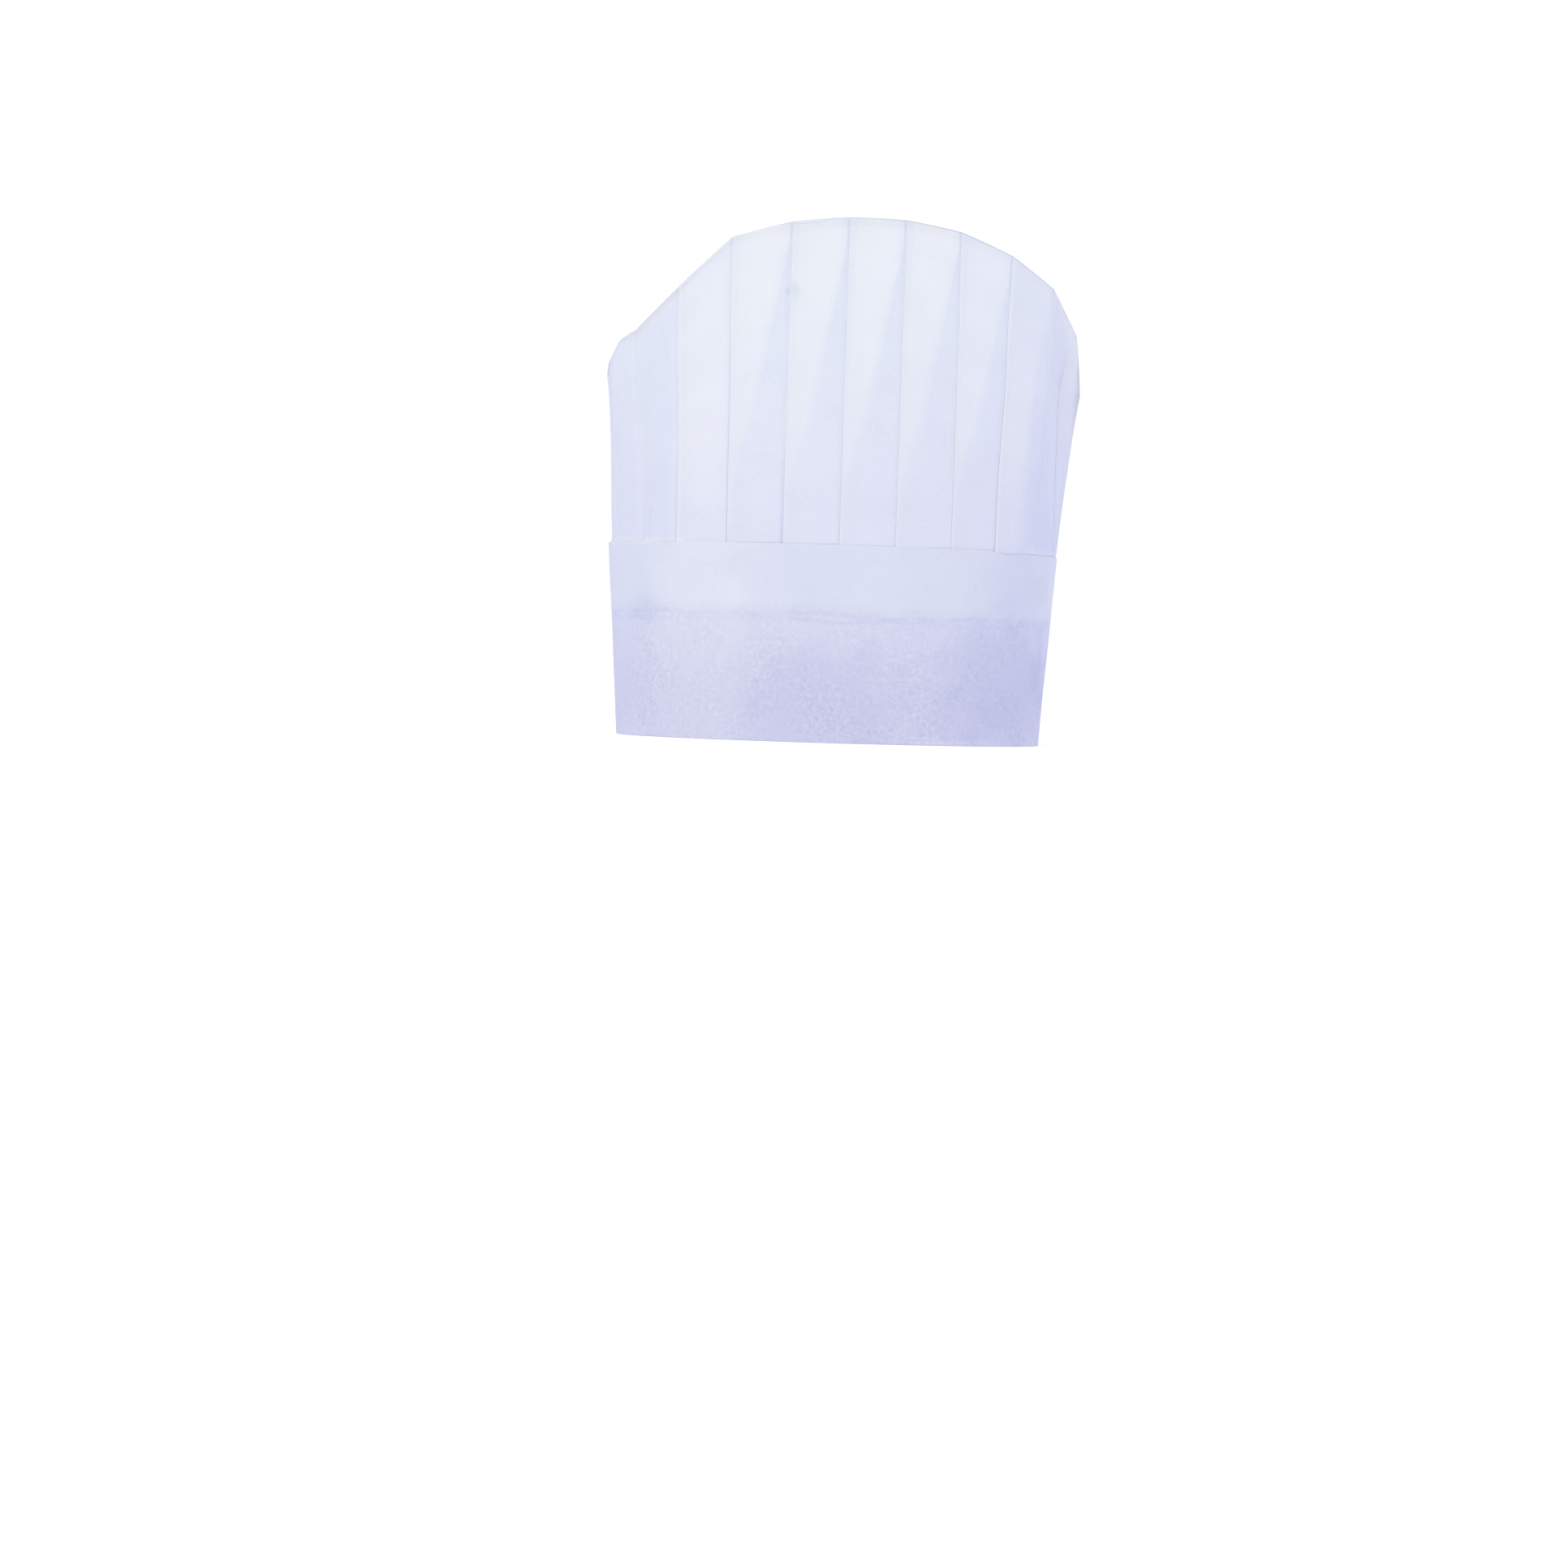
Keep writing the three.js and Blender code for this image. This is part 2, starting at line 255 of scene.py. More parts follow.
def pleat_columns(rise, pleat):
    """The columns of one pleat at this rise, in their order along the cloth."""
    roll = (pleat_step(rise, pleat.crease.step) - PLY_GAP) / 2
    step = pleat_step(rise, pleat.following.step)
    bend = bend_place(rise, pleat)
    low = clamp(1 - rise / GREY_RISE)
    single = pleat.single * clamp((1 - rise) / SINGLE_FADE)
    # Near the seam, whiteness past 1 is painted light against the shade under the seam.
    near_seam = clamp((rise - TOP_WHITE_FROM) / TOP_WHITE_OVER)
    backed = mix(clamp(rise / BACKED_RISE), pleat.bend.top_white, near_seam)
    if pleat.bend is SLOPING:
        backed = single
    # Under each crease's edge: painted shade near the band and painted light higher up.
    painted_light_shade_under_edge = mix(pleat.crease.under, -pleat.crease.grey, low)
    painted_light_shade_under_next = mix(pleat.following.under, -pleat.following.grey, low)
    flat_from = ROLL_WIDTH / PITCH
    roll_cloth = pi * ((ROLL_WIDTH**2 + roll**2) / 2) ** 0.5
    columns = []
    for turned in ROLL_TURNS:
        place = flat_from * (1 - cos(radians(turned)))
        slanted = 2 * cos(radians(turned)) if turned > 0 else 2
        depth = roll * mix(1 - sin(radians(turned)), slanted, pleat.crease.soft)
        # The roll's whiteness is partly its plies and partly a painted highlight; its lower half also takes
        # the painted light under the edge.
        white = pleat.crease.white if turned > 0 else max(pleat.crease.white, painted_light_shade_under_edge)
        columns.append(Column(place, depth, roll_cloth * (turned + 90) / 180, white))

    # The panel's columns, each with its share of the way across, its dip and its whiteness.
    # Just beside its own crease the panel is less white: painted shade.
    panel = [(mix(flat_from, bend, CREASE_SIDE_SHARE), 0, CREASE_SIDE_SHADED_WHITE * backed)]
    for i in range(1, BEFORE_BEND):
        panel.append((mix(flat_from, bend, i / BEFORE_BEND), 0, backed))
    panel.append((bend, BEND_DIP, mix(single, backed, BACKED_AT_BEND)))
    strip = max(1 - STRIP / PITCH, mix(bend, 1, STRIP_LEAST))
    for i in range(1, AFTER_BEND + 1):
        dip = i / AFTER_BEND * (strip - bend) / (1 - bend)
        panel.append((mix(bend, strip, i / AFTER_BEND), dip, single if i < AFTER_BEND else 0))
    # The last strip before the next crease has painted shade; under that crease it takes the fold's painted
    # light and shade.
    for along, white in (
        (STRIP_START, STRIP_WHITE * (1 - low)),
        (STRIP_MIDDLE, mix(STRIP_WHITE, -STRIP_GREY * pleat.following.grey, low)),
        (1, painted_light_shade_under_next),
    ):
        share = mix(strip, 1, along)
        panel.append((share, (share - bend) / (1 - bend), white))
    before = roll_cloth - ROLL_WIDTH
    press = clamp((rise - PRESS_START) / (PRESS_END - PRESS_START))
    for share, dip, white in panel:
        pressed = clamp((share * PITCH - UNDERLAP) / PRESS_DROP)
        depth = step * mix(dip, pressed, press)
        columns.append(Column(share, depth, before + share * PITCH, white))

    # The underlap, its turn and the way back to the next crease.
    before += PITCH
    for share in UNDER_SHARES:
        columns.append(Column(1 + share * UNDERLAP / PITCH, step, before + share * UNDERLAP, 0))
    before += UNDERLAP + PLY_GAP / 2
    columns.append(Column(1 + (UNDERLAP + PLY_GAP / 2) / PITCH, step - PLY_GAP / 2, before, 1))
    before += PLY_GAP / 2
    for share in RETURN_SHARES:
        cloth = before + (1 - share) * UNDERLAP
        columns.append(Column(1 + share * UNDERLAP / PITCH, step - PLY_GAP, cloth, 1))
    return columns


# On the left side the pleats run from the front to the back, so a pleat's panel is the one
# before the same fold of the right side.
BEND_STRAY = 0.03
dice = Random(7)
pleats = []
for i in range(PLEATS):
    crease, following = (FOLDS[min(turn % PLEATS, PLEATS - 1 - turn % PLEATS)] for turn in (i, i + 1))
    panel = crease if i < PLEATS_A_SIDE - 1 else following
    bend_shift = dice.uniform(-BEND_STRAY, BEND_STRAY)
    pleats.append(Pleat(crease, following, panel.bend, panel.single, bend_shift))

# At the back and the front the cloth has a line of painted light where it meets the band's
# top edge. The lower front has painted shade where it turns away, and the front's bulge above
# it has painted light again.
BAND_EDGE_PAINTED_LIGHT, NO_BAND_EDGE_PAINTED_LIGHT = 1.3, (-75, 98)
FRONT_GREY, FRONT_GREY_FROM, FRONT_GREY_WIDTH, FRONT_GREY_RISE = 1.4, 84, 10, 0.6
BULGE_WHITE, BULGE_FROM, BULGE_WIDTH = 0.8, 110, 5


def whiteness_and_painted_light(column, line, rise, x):
    """How white the cloth is, from its plies and from painted light and shade where it is on the hat."""
    # Painted shade on the lower front, painted light on the bulge above it, and a painted light line along
    # the band's edge.
    at_front = clamp((x - FRONT_GREY_FROM) / FRONT_GREY_WIDTH)
    white = column.white - FRONT_GREY * at_front * clamp(1 - rise / FRONT_GREY_RISE)
    white += BULGE_WHITE * clamp((x - BULGE_FROM) / BULGE_WIDTH)
    if rise == 0 and not NO_BAND_EDGE_PAINTED_LIGHT[0] < line.seam_x < NO_BAND_EDGE_PAINTED_LIGHT[1]:
        white += BAND_EDGE_PAINTED_LIGHT
    return white


# The mesh is the cloth laid flat in rows and columns, with its true lengths as its map, and
# then folded. A slight ripple, longest upwards, is left in the cloth, but not at the band
# or in the fin.
HEM_ROWS = (-1, -0.82, -0.62, -0.42, -0.24, -0.1)
CROWN_ROWS = 54
FIN_ROWS = (0.985, 0.993, 1.0)
CROWN_CLOTH_HEIGHT = 178
CREASE_CLOTH = 1
PLEAT_CLOTH = PITCH + 2 * UNDERLAP + CREASE_CLOTH
RIPPLE, RIPPLE_LENGTH = 0.9, 38
RIPPLE_ACROSS, RIPPLE_UP = 1.3, 0.6
RIPPLE_GROWTH, RIPPLE_END, RIPPLE_FADE = 5, 0.97, 6
rows = [*HEM_ROWS, *(FIN_START * i / CROWN_ROWS for i in range(CROWN_ROWS + 1)), *FIN_ROWS]
columns_a_pleat = len(pleat_columns(0, pleats[0]))
column_count = PLEATS * columns_a_pleat

bpy.ops.object.select_all(action="DESELECT")
bpy.ops.mesh.primitive_grid_add(x_subdivisions=column_count, y_subdivisions=len(rows) - 1, size=1)
crown = bpy.context.object
crown.name = crown.data.name = "crown_cloth"

across = column_count + 1
crown_uv = crown.data.uv_layers.active
# Each point's whiteness: its plies, with painted light and painted shade added.
plies = crown.data.attributes.new("plies", "FLOAT", "POINT")
flat_spots = {}
for row, rise in enumerate(rows):
    cloth_height = TUCK * (1 + rise) if rise <= 0 else TUCK + CROWN_CLOTH_HEIGHT * rise
    laid = [pleat_columns(rise, pleat) for pleat in pleats]
    slack = clamp(rise * RIPPLE_GROWTH) * clamp((RIPPLE_END - rise) * RIPPLE_FADE)
    for spot in range(row * across, (row + 1) * across):
        number, index = divmod(spot - row * across, columns_a_pleat)
        column = laid[number % PLEATS][index]
        line = fold_line(number + column.place)
        point = cloth_point(line, rise, column.depth)
        place = Vector((point.x, point.y * RIPPLE_ACROSS, point.z * RIPPLE_UP)) / RIPPLE_LENGTH
        inward = Vector((-sin(line.angle), cos(line.angle), 0))
        point += inward * noise.noise(place) * RIPPLE * slack
        crown.data.vertices[spot].co = (point + Vector((RIM_MIDDLE, 0, 0))) * MM
        flat_spots[spot] = Vector((number * PLEAT_CLOTH + column.cloth, cloth_height)) * MM
        plies.data[spot].value = whiteness_and_painted_light(column, line, rise, point.x)
for loop in crown.data.loops:
    crown_uv.data[loop.index].uv = flat_spots[loop.vertex_index]

bpy.ops.object.mode_set(mode="EDIT")
bpy.ops.mesh.select_all(action="SELECT")
bpy.ops.mesh.remove_doubles(threshold=0.01 * MM)
bpy.ops.object.mode_set(mode="OBJECT")
wall = crown.modifiers.new("cloth thickness", "SOLIDIFY")
wall.thickness = CLOTH * MM
wall.offset = -1
bpy.ops.object.modifier_apply(modifier=wall.name)
bpy.ops.object.shade_smooth()

crown_height = (TUCK + CROWN_CLOTH_HEIGHT) * MM
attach(crown, "root")
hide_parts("crown")


def colour(hex_value):
    """An sRGB hex colour as a linear one."""
    parts = [int(hex_value[i:i + 2], 16) / 255 for i in (1, 3, 5)]
    return (*(part / 12.92 if part <= 0.04045 else ((part + 0.055) / 1.055) ** 2.4 for part in parts), 1)


def add_node(material, kind, settings=None, links=None, **properties):
    """Adds a node, sets its properties and sockets, and links other nodes' outputs to it."""
    node = material.node_tree.nodes.new(kind)
    for name, value in properties.items():
        setattr(node, name, value)
    for socket, value in (settings or {}).items():
        node.inputs[socket].default_value = value
    for socket, output in (links or {}).items():
        material.node_tree.links.new(output, node.inputs[socket])
    return node


# Spun-laid non-woven: endless polypropylene fibres, laid at random and bonded by heat. To
# the eye it is matt and soft, lets some light through, and is whiter where more plies lie
# behind it. It is mottled where the fibres lie thick or thin, most on a single ply, and
# thin spots are bluer. A fibre is about 0.02 mm thick, which is too fine to show, so the
# mottle is drawn coarser, in clumps of FIBRE_CLUMP millimetres. Over CLOUD millimetres the
# cloth is darker in some places than in others, and its clumps are stronger there.
ROUGHNESS, POLYPROPYLENE_IOR = 0.9, 1.49
GLOSS, FUZZ, FUZZ_ROUGHNESS = 0.2, 0.1, 0.6
SEE_THROUGH = 0.2
FIBRE_CLUMP, CLUMP_DEPTH = 2.1, 0.1
THIN_SPOT_TINT = (1, 1, 0.7)
CLOUD, CLOUD_DEPTH = 22, 0.014
STRONG_CLUMPS, WEAK_CLUMPS = 1.6, 0.5


def nonwoven(material, single, several, plies_and_painted_light, mark, mark_colour, contrasts):
    """Fills a material in. Two sockets say how much the cloth looks like several plies, which
    also carries painted light and painted shade, and how much of the mark's colour it has.
    The two contrasts are how strong the mottle is on a single ply and on several."""
    shader = material.node_tree.nodes["Principled BSDF"]
    shader.inputs["Roughness"].default_value = ROUGHNESS
    shader.inputs["IOR"].default_value = POLYPROPYLENE_IOR
    shader.inputs["Specular IOR Level"].default_value = GLOSS
    shader.inputs["Sheen Weight"].default_value = FUZZ
    shader.inputs["Sheen Roughness"].default_value = FUZZ_ROUGHNESS
    cloth = add_node(material, "ShaderNodeUVMap", uv_map="UVMap")
    clumps = add_node(material, "ShaderNodeTexNoise",
                      {"Scale": 1 / (FIBRE_CLUMP * MM), "Detail": 3, "Roughness": 0.7, "Distortion": 0.6},
                      {"Vector": cloth.outputs["UV"]})
    uneven = add_node(material, "ShaderNodeMapRange",
                      {"From Min": 0.25, "From Max": 0.75, "To Min": -1, "To Max": 1},
                      {"Value": clumps.outputs["Fac"]})
    contrast = add_node(material, "ShaderNodeMapRange", {"To Min": contrasts[0], "To Max": contrasts[1]},
                        {"Value": plies_and_painted_light})
    clouds = add_node(material, "ShaderNodeTexNoise", {"Scale": 1 / (CLOUD * MM), "Detail": 4},
                      {"Vector": cloth.outputs["UV"]})
    patchy = add_node(material, "ShaderNodeMapRange",
                      {"From Min": 0.35, "From Max": 0.65, "To Min": STRONG_CLUMPS, "To Max": WEAK_CLUMPS},
                      {"Value": clouds.outputs["Fac"]})
    varied = add_node(material, "ShaderNodeMath", None,
                      {0: contrast.outputs["Result"], 1: patchy.outputs["Result"]}, operation="MULTIPLY")
    cloudy = add_node(material, "ShaderNodeMapRange",
                      {"From Min": 0.3, "From Max": 0.7, "To Min": -CLOUD_DEPTH, "To Max": CLOUD_DEPTH},
                      {"Value": clouds.outputs["Fac"]})
    depth = add_node(material, "ShaderNodeMath", None,
                     {0: uneven.outputs["Result"], 1: varied.outputs["Value"], 2: cloudy.outputs["Result"]},
                     operation="MULTIPLY_ADD")
    mottle = add_node(material, "ShaderNodeVectorMath", {0: THIN_SPOT_TINT, 2: (1, 1, 1)},
                      {1: depth.outputs["Value"]}, operation="MULTIPLY_ADD")
    paint = add_node(material, "ShaderNodeMix", {"A": colour(single), "B": colour(several)},
                     {"Factor": plies_and_painted_light}, data_type="RGBA", clamp_factor=False)
    marked = add_node(material, "ShaderNodeMix", {"B": colour(mark_colour)},
                      {"Factor": mark, "A": paint.outputs["Result"]}, data_type="RGBA")
    shade = add_node(material, "ShaderNodeVectorMath", None,
                     {0: marked.outputs["Result"], 1: mottle.outputs["Vector"]}, operation="MULTIPLY")
    material.node_tree.links.new(shade.outputs["Vector"], shader.inputs["Base Color"])
    bump = add_node(material, "ShaderNodeBump", {"Strength": 0.25, "Distance": CLUMP_DEPTH * MM},
                    {"Height": clumps.outputs["Fac"]})
    material.node_tree.links.new(bump.outputs["Normal"], shader.inputs["Normal"])
    through = add_node(material, "ShaderNodeBsdfTranslucent", None, {"Color": shade.outputs["Vector"]})
    both = add_node(material, "ShaderNodeMixShader", {"Fac": SEE_THROUGH},
                    {1: shader.outputs["BSDF"], 2: through.outputs["BSDF"]})
    output = material.node_tree.nodes["Material Output"]
    material.node_tree.links.new(both.outputs["Shader"], output.inputs["Surface"])


# A soft-edged mark on the cloth: its middle and half sizes in millimetres, the share of them
# over which it is full, and its depth, which is below 0 where the cloth is whiter. Its edge
# strays by up to RAGGED half sizes.
Patch = namedtuple("Patch", "x y z half_x half_y half_z core depth")
RAGGED, RAG_LENGTH = 0.5, 14


def add_patches(material, place, start, patches):
    """Sums the patches' depths onto an output, and gives the output with the sum."""
    rags = add_node(material, "ShaderNodeTexNoise", {"Scale": 1 / (RAG_LENGTH * MM), "Detail": 4},
                    {"Vector": place})
    stray = add_node(material, "ShaderNodeMapRange", {"To Min": -RAGGED, "To Max": RAGGED},
                     {"Value": rags.outputs["Fac"]})
    for patch in patches:
        middle, halves = patch[:3], patch[3:6]
        near = add_node(material, "ShaderNodeMapping",
                        {"Location": [-a / b for a, b in zip(middle, halves)],
                         "Scale": [1 / (half * MM) for half in halves]}, {"Vector": place})
        away = add_node(material, "ShaderNodeVectorMath", None, {0: near.outputs["Vector"]},
                        operation="LENGTH")
        strayed = add_node(material, "ShaderNodeMath", None,
                           {0: away.outputs["Value"], 1: stray.outputs["Result"]}, operation="ADD")
        amount = add_node(material, "ShaderNodeMapRange",
                          {"From Min": 1, "From Max": patch.core, "To Max": patch.depth},
                          {"Value": strayed.outputs["Value"]}, interpolation_type="SMOOTHSTEP")
        start = add_node(material, "ShaderNodeMath", None,
                         {0: start, 1: amount.outputs["Result"]}, operation="ADD").outputs["Value"]
    return start


# The crown's marks: the seam's edge, where heat has melted the fibres to a greyer line, most
# towards the front, and on the right side a small smudge on the fifth fold with a fainter
# one beside it, and a dark line of painted shade beside the second fold, in its crease just
# above the band.
SEALED_EDGE, SEALED_DEPTH = 0.5, 0.5
SEALED_FROM, SEALED_TO = -30, 50
CROWN_MARKS_AND_PAINTED_SHADE = (
    Patch(-28.2, -35, 213.3, 1.6, 60, 3.4, 0.3, 0.4),
    Patch(-24.6, -35, 213.6, 4.0, 60, 6.5, 0.2, 0.2),
    # Painted shade in the crease beside the second fold.
    Patch(-89.8, -50, 98, 0.7, 45, 22, 0.2, 0.15),
)
crown_material = bpy.data.materials.new("spun-laid non-woven, pleated")
crown_material.use_nodes = True
# The cloth's plies, with the painted light and painted shade laid into them.
plies_and_painted_light_node = add_node(crown_material, "ShaderNodeAttribute", attribute_name="plies")
cloth_place = add_node(crown_material, "ShaderNodeUVMap", uv_map="UVMap")
cloth_up = add_node(crown_material, "ShaderNodeSeparateXYZ", None, {"Vector": cloth_place.outputs["UV"]})
crown_place = add_node(crown_material, "ShaderNodeTexCoord")
crown_along = add_node(crown_material, "ShaderNodeSeparateXYZ", None,
                       {"Vector": crown_place.outputs["Object"]})
melted = add_node(crown_material, "ShaderNodeMapRange",
                  {"From Min": SEALED_FROM * MM, "From Max": SEALED_TO * MM, "To Max": SEALED_DEPTH},
                  {"Value": crown_along.outputs["X"]})
sealed = add_node(crown_material, "ShaderNodeMapRange",
                  {"From Min": crown_height - 2 * SEALED_EDGE * MM,
                   "From Max": crown_height - SEALED_EDGE * MM},
                  {"Value": cloth_up.outputs["Y"], "To Max": melted.outputs["Result"]})
marks = add_patches(crown_material, crown_place.outputs["Object"], sealed.outputs["Result"], CROWN_MARKS_AND_PAINTED_SHADE)
nonwoven(crown_material, "#e1e4eb", "#e7e9ec", plies_and_painted_light_node.outputs["Fac"], marks, "#bcc6dd", (0.02, 0.012))
crown.data.materials.clear()
crown.data.materials.append(crown_material)


# Band
# A strip of the same non-woven, wrapped round in a closed loop and standing upright. It
# is one ply below the crown's hem and lies over the pleats above it.
BAND_CLOTH = 0.2
BAND_SIDES = 240
BAND_LEVELS = 30
# The strip waves a little, and its top edge is lower round the front.
WAVE, WAVE_LENGTH = 0.35, 30
LOW_FRONT, LOW_FRONT_FROM, LOW_FRONT_TO, LOW_FRONT_POWER = 1.1, 70, 78, 4


def band_halves(share):
    """Half the band's length and half its width, at a share of its height."""
    return [mix(at_rim, at_top, share) for at_rim, at_top in zip(RIM_HALVES, BAND_TOP_HALVES)]


bpy.ops.object.select_all(action="DESELECT")
bpy.ops.mesh.primitive_circle_add(vertices=BAND_SIDES, radius=1, fill_type="NOTHING")
band = bpy.context.object
band.name = band.data.name = "band_cloth"
bpy.ops.object.mode_set(mode="EDIT")
bpy.ops.mesh.select_all(action="SELECT")
bpy.ops.transform.resize(value=(RIM_HALVES[0] * MM, RIM_HALVES[1] * MM, 1))
bpy.ops.transform.translate(value=(RIM_MIDDLE * MM, 0, 0))
level_height = BAND_HEIGHT * MM / BAND_LEVELS
for level in range(BAND_LEVELS):
    here, above = band_halves(level / BAND_LEVELS), band_halves((level + 1) / BAND_LEVELS)
    bpy.ops.mesh.extrude_region_move(TRANSFORM_OT_translate={"value": (0, 0, level_height)})
    bpy.ops.transform.resize(value=(above[0] / here[0], above[1] / here[1], 1),
                             center_override=(RIM_MIDDLE * MM, 0, 0))
bpy.ops.mesh.select_all(action="SELECT")
bpy.ops.mesh.normals_make_consistent(inside=False)
bpy.ops.object.mode_set(mode="OBJECT")

# The strip's map is the strip laid flat: how far round the rim a place is, and how high.
round_band = [0.0]
for i in range(BAND_SIDES):
    start, end = (Vector((RIM_HALVES[0] * cos(turn), RIM_HALVES[1] * sin(turn)))
                  for turn in (2 * pi * i / BAND_SIDES, 2 * pi * (i + 1) / BAND_SIDES))
    round_band.append(round_band[-1] + (end - start).length)
band.data.uv_layers.new(name="UVMap")
for face in band.data.polygons:
    spots = [band.data.vertices[band.data.loops[loop].vertex_index].co for loop in face.loop_indices]
    sides = []
    for spot in spots:
        halves = band_halves(spot.z / (BAND_HEIGHT * MM))
        direction = Vector(((spot.x - RIM_MIDDLE * MM) / halves[0], spot.y / halves[1]))
        sides.append(direction.angle_signed(Vector((1, 0))) / (2 * pi) % 1 * BAND_SIDES)
    crossing = max(sides) - min(sides) > BAND_SIDES / 2
    for loop, spot, side in zip(face.loop_indices, spots, sides):
        side = round(side) % BAND_SIDES
        if crossing and side < BAND_SIDES / 2:
            side += BAND_SIDES
        band.data.uv_layers.active.data[loop].uv = (round_band[side] * MM, spot.z)

for vertex in band.data.vertices:
    outward = Vector((vertex.co.x, vertex.co.y, 0)).normalized()
    vertex.co += outward * noise.noise(vertex.co / (WAVE_LENGTH * MM)) * WAVE * MM
    at_front = clamp((vertex.co.x / MM - LOW_FRONT_FROM) / (LOW_FRONT_TO - LOW_FRONT_FROM))
    vertex.co.z -= LOW_FRONT * MM * at_front * (vertex.co.z / MM / BAND_HEIGHT) ** LOW_FRONT_POWER
wall = band.modifiers.new("cloth thickness", "SOLIDIFY")
wall.thickness = BAND_CLOTH * MM
wall.offset = -1
bpy.ops.object.modifier_apply(modifier=wall.name)
bpy.ops.object.shade_smooth_by_angle(angle=radians(40))
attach(band, "root")
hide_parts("band")

# The same non-woven, which the single ply makes darker and more mottled to the eye. The
# crown's hem shows through it as two wavy, broken lines, the ends of the hem's plies. Over
# the hem the strip is white, and this fades in over HEM_FADE millimetres. Below the hem it
# is half as white, a painted glow of light from the crown's cloth near it, and this fades
# out down to GLOW_FROM.
HEM_WAVE, HEM_WAVE_LENGTH, HEM_GAP_LENGTH = 6, 30, 9
HemLine = namedtuple("HemLine", "drop noise_from half_width depth")
HEM_LINES = (HemLine(0, 0, 1.6, 0.13), HemLine(2.8, 3.7, 1.8, 0.1))
HEM_FADE = 5.5
HEM_GLOW, GLOW_FROM = 0.5, 20
# The strip is a little darker than its colour all over. It is thicker in some places, where
# it is whiter, and thinner and bluer in others; the dark patches low down are partly painted
# shade from inside the hat showing through. Narrow lines along its top edge at the back,
# along the rim and down the front edge are painted light, and one line along the top edge
# under a pleat is painted shade. These are places on its right side.
BAND_GREY = 0.07
STRIP_PATCHES_WITH_PAINTED_LIGHT_AND_SHADE = (
    Patch(-65, -70, 50, 28, 90, 90, 0.3, -0.11),
    Patch(-98, -70, 0, 20, 90, 20, 0.2, -0.06),
    Patch(-4, -70, 12, 50, 90, 42, 0.5, 0.13),
    Patch(84, -70, 28, 46, 90, 46, 0.4, 0.17),
    Patch(57, -70, 12, 22, 90, 22, 0.2, 0.04),
    Patch(-11, -70, 76, 30, 90, 30, 0.2, 0.03),
    Patch(87, -70, 74, 26, 90, 30, 0.2, 0.1),
    Patch(-95, -70, 70, 14, 90, 30, 0.2, 0.03),
    Patch(-93, -70, 60.5, 17, 90, 11, 0.2, 0.09),
    # Painted light along the top edge at the back, along the rim and down the front edge.
    Patch(-91, -70, 92.5, 20, 90, 2, 0.3, -0.14),
    Patch(57, -70, 1.2, 44, 90, 1.2, 0.3, -0.1),
    Patch(103, -70, 75, 3, 90, 30, 0.3, -0.1),
    Patch(96, -70, 34, 6, 90, 42, 0.3, 0.1),
    # Painted shade along the top edge under a pleat.
    Patch(80.5, -70, 91, 7, 60, 1.2, 0.5, 0.2),
)
band_material = bpy.data.materials.new("spun-laid non-woven, smooth strip")
band_material.use_nodes = True
place = add_node(band_material, "ShaderNodeTexCoord").outputs["Object"]
height = add_node(band_material, "ShaderNodeSeparateXYZ", None, {"Vector": place}).outputs["Z"]
gaps = add_node(band_material, "ShaderNodeTexNoise", {"Scale": 1 / (HEM_GAP_LENGTH * MM), "Detail": 3},
                {"Vector": place})
unbroken = add_node(band_material, "ShaderNodeMapRange", {"From Min": 0.3, "From Max": 0.62},
                    {"Value": gaps.outputs["Fac"]})
over_hem = None
darker = add_node(band_material, "ShaderNodeValue").outputs["Value"]
darker.default_value = BAND_GREY
for hem_line in HEM_LINES:
    moved = add_node(band_material, "ShaderNodeMapping", {"Location": (hem_line.noise_from, 0, 0)},
                     {"Vector": place})
    wander = add_node(band_material, "ShaderNodeTexNoise",
                      {"Scale": 1 / (HEM_WAVE_LENGTH * MM), "Detail": 4},
                      {"Vector": moved.outputs["Vector"]})
    raised = add_node(band_material, "ShaderNodeMath",
                      {1: HEM_WAVE * MM, 2: (hem_line.drop - BAND_HEIGHT + TUCK - HEM_WAVE / 2) * MM},
                      {0: wander.outputs["Fac"]}, operation="MULTIPLY_ADD")
    from_line = add_node(band_material, "ShaderNodeMath", None,
                         {0: raised.outputs["Value"], 1: height}, operation="ADD")
    off_line = add_node(band_material, "ShaderNodeMath", None, {0: from_line.outputs["Value"]},
                        operation="ABSOLUTE")
    drawn = add_node(band_material, "ShaderNodeMapRange",
                     {"From Min": hem_line.half_width * MM, "From Max": 0, "To Max": hem_line.depth},
                     {"Value": off_line.outputs["Value"]}, interpolation_type="SMOOTHSTEP")
    darker = add_node(band_material, "ShaderNodeMath", None,
                      {0: drawn.outputs["Result"], 1: unbroken.outputs["Result"], 2: darker},
                      operation="MULTIPLY_ADD").outputs["Value"]
    if over_hem is None:
        over_hem = add_node(band_material, "ShaderNodeMapRange",
                            {"From Min": -1 * MM, "From Max": HEM_FADE * MM, "To Max": 1 - HEM_GLOW},
                            {"Value": from_line.outputs["Value"]})
# Painted light below the hem, fading out downwards.
glow = add_node(band_material, "ShaderNodeMapRange",
                {"From Min": GLOW_FROM * MM, "From Max": (BAND_HEIGHT - TUCK) * MM, "To Max": HEM_GLOW},
                {"Value": height})
hem_plies_and_painted_glow = add_node(band_material, "ShaderNodeMath", None,
                  {0: over_hem.outputs["Result"], 1: glow.outputs["Result"]}, operation="ADD")
darker = add_patches(band_material, place, darker, STRIP_PATCHES_WITH_PAINTED_LIGHT_AND_SHADE)
nonwoven(band_material, "#d5d6e3", "#e2e6ec", hem_plies_and_painted_glow.outputs["Value"], darker, "#9fa4d2", (0.095, 0.02))
band.data.materials.clear()
band.data.materials.append(band_material)


